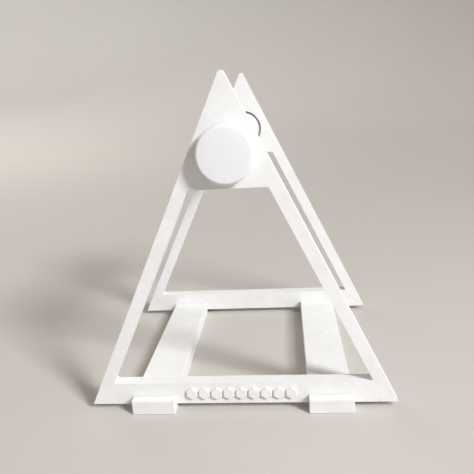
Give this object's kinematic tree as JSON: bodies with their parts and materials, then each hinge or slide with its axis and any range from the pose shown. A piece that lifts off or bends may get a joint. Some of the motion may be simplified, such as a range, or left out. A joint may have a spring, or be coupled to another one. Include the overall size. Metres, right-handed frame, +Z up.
{
  "type": "spool holder stand",
  "caption": "White printed stand with triangular side frames slotted into flat base rails; a spool turns on a sleeved axle carried in ball bearings at the frame heads.",
  "frame": {"origin": "on the table, under the middle of the stand", "axes": "+X to the right, +Y to the back along the axle, +Z up; the front frame faces -Y"},
  "size_m": [0.158, 0.143, 0.1638],
  "materials": {
    "white_pla": "white printed PLA, satin, with fine layer lines",
    "bearing_steel": "ground and polished bearing steel",
    "ball_steel": "polished steel balls",
    "shield_steel": "pressed steel shields",
    "cage_nylon": "natural moulded nylon",
    "zinc_steel": "zinc plated steel, dull"
  },
  "bodies": {
    "stand": {"front_side_frame": "white_pla", "rear_side_frame": "white_pla", "left_base_rail": "white_pla", "right_base_rail": "white_pla", "front_bearing_outer_ring": "bearing_steel", "front_bearing_outside_shield": "shield_steel", "front_bearing_inside_shield": "shield_steel", "rear_bearing_outer_ring": "bearing_steel", "rear_bearing_outside_shield": "shield_steel", "rear_bearing_inside_shield": "shield_steel"},
    "axle": {"axle_rod": "zinc_steel", "axle_sleeve": "white_pla", "front_knob": "white_pla", "front_knob_nut": "zinc_steel", "front_spacer_ring": "zinc_steel", "front_bearing_inner_ring": "bearing_steel", "rear_knob": "white_pla", "rear_knob_nut": "zinc_steel", "rear_spacer_ring": "zinc_steel", "rear_bearing_inner_ring": "bearing_steel"},
    "front_ball_set": {"front_bearing_cage": "cage_nylon", "front_bearing_ball_1": "ball_steel", "front_bearing_ball_2": "ball_steel", "front_bearing_ball_3": "ball_steel", "front_bearing_ball_4": "ball_steel", "front_bearing_ball_5": "ball_steel", "front_bearing_ball_6": "ball_steel", "front_bearing_ball_7": "ball_steel"},
    "rear_ball_set": {"rear_bearing_cage": "cage_nylon", "rear_bearing_ball_1": "ball_steel", "rear_bearing_ball_2": "ball_steel", "rear_bearing_ball_3": "ball_steel", "rear_bearing_ball_4": "ball_steel", "rear_bearing_ball_5": "ball_steel", "rear_bearing_ball_6": "ball_steel", "rear_bearing_ball_7": "ball_steel"}
  },
  "joints": [
    {"name": "axle_spin", "type": "hinge", "parent": "stand", "child": "axle", "pos_m": [0, 0, 0.12982], "axis": [0, 1, 0], "continuous": true},
    {"name": "front_ball_set_spin", "type": "hinge", "parent": "stand", "child": "front_ball_set", "pos_m": [0, -0.061, 0.12982], "axis": [0, 1, 0], "continuous": true},
    {"name": "rear_ball_set_spin", "type": "hinge", "parent": "stand", "child": "rear_ball_set", "pos_m": [0, 0.061, 0.12982], "axis": [0, 1, 0], "continuous": true}
  ],
  "couplings": [
    {"joint": "front_ball_set_spin", "follows": "axle_spin", "ratio": 0.36767},
    {"joint": "rear_ball_set_spin", "follows": "axle_spin", "ratio": 0.36767}
  ]
}
